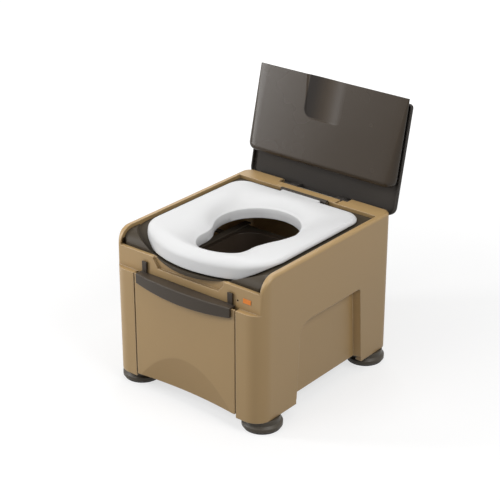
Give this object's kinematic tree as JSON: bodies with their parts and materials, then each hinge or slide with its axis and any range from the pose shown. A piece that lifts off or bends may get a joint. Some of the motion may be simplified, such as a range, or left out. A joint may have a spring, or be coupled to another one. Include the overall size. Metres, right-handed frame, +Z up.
{
  "type": "portable commode",
  "caption": "Portable commode with a moulded body, lifting dished seat, sliding pail drawer, folding two-part lid and adjustable feet.",
  "frame": {"origin": "on the floor below the middle of the whole object with its lid open", "axes": "+X to the right seen from the front, +Y to the rear where the lid stands, +Z up"},
  "size_m": [0.473, 0.6025, 0.6674],
  "materials": {
    "tan_plastic": "fine satin moulding",
    "white_plastic": "soft satin",
    "brown_plastic": "satin",
    "dark_plastic": "satin",
    "handle_plastic": "satin",
    "inner_plastic": "plain moulding",
    "pail_plastic": "smooth inside",
    "orange_plastic": "plain",
    "steel": "drawn rod",
    "rubber": "matt"
  },
  "bodies": {
    "body": {"body_shell": "tan_plastic", "hinge_strap": "tan_plastic", "leg_socket_front_left": "inner_plastic", "leg_socket_front_right": "inner_plastic", "leg_socket_rear_left": "inner_plastic", "leg_socket_rear_right": "inner_plastic", "lid_hinge_ear_left": "inner_plastic", "lid_hinge_ear_right": "inner_plastic", "lid_hinge_pin": "steel", "marker": "orange_plastic", "runner_left": "inner_plastic", "runner_right": "inner_plastic", "seat_frame": "dark_plastic", "seat_hinge_ear_left": "inner_plastic", "seat_hinge_ear_right": "inner_plastic", "seat_hinge_pin": "steel"},
    "lid_rear_body": {"lid_fold_pin_left": "steel", "lid_fold_pin_right": "steel", "lid_rear": "dark_plastic"},
    "lid_front_body": {"lid_front": "brown_plastic", "lid_stops": "rubber"},
    "seat_body": {"seat": "white_plastic", "seat_bumpers": "rubber", "seat_hinge_leaf": "inner_plastic"},
    "drawer_body": {"drawer_front": "tan_plastic", "drawer_handle": "handle_plastic", "drawer_tray": "inner_plastic", "pail": "pail_plastic"},
    "foot_front_left_body": {"foot_front_left": "handle_plastic", "foot_pad_front_left": "rubber"},
    "foot_front_right_body": {"foot_front_right": "handle_plastic", "foot_pad_front_right": "rubber"},
    "foot_rear_left_body": {"foot_rear_left": "handle_plastic", "foot_pad_rear_left": "rubber"},
    "foot_rear_right_body": {"foot_rear_right": "handle_plastic", "foot_pad_rear_right": "rubber"}
  },
  "joints": [
    {"name": "lid_hinge", "type": "hinge", "parent": "body", "child": "lid_rear_body", "pos_m": [0, 0.22143, 0.3854], "axis": [1, 0, 0], "range_deg": [0, 102]},
    {"name": "lid_fold", "type": "hinge", "parent": "lid_rear_body", "child": "lid_front_body", "pos_m": [0, 0.29107, 0.65532], "axis": [1, 0, 0], "range_deg": [-184.31, 0]},
    {"name": "seat_hinge", "type": "hinge", "parent": "body", "child": "seat_body", "pos_m": [0, 0.16853, 0.3955], "axis": [1, 0, 0], "range_deg": [-97, 0]},
    {"name": "drawer_slide", "type": "slide", "parent": "body", "child": "drawer_body", "axis": [0, -1, 0], "range_m": [0, 0.3]},
    {"name": "foot_front_left_height", "type": "slide", "parent": "body", "child": "foot_front_left_body", "axis": [0, 0, -1], "range_m": [0, 0.03]},
    {"name": "foot_front_right_height", "type": "slide", "parent": "body", "child": "foot_front_right_body", "axis": [0, 0, -1], "range_m": [0, 0.03]},
    {"name": "foot_rear_left_height", "type": "slide", "parent": "body", "child": "foot_rear_left_body", "axis": [0, 0, -1], "range_m": [0, 0.03]},
    {"name": "foot_rear_right_height", "type": "slide", "parent": "body", "child": "foot_rear_right_body", "axis": [0, 0, -1], "range_m": [0, 0.03]}
  ],
  "couplings": [
    {"joint": "lid_fold", "follows": "lid_hinge", "ratio": -1.8065}
  ]
}
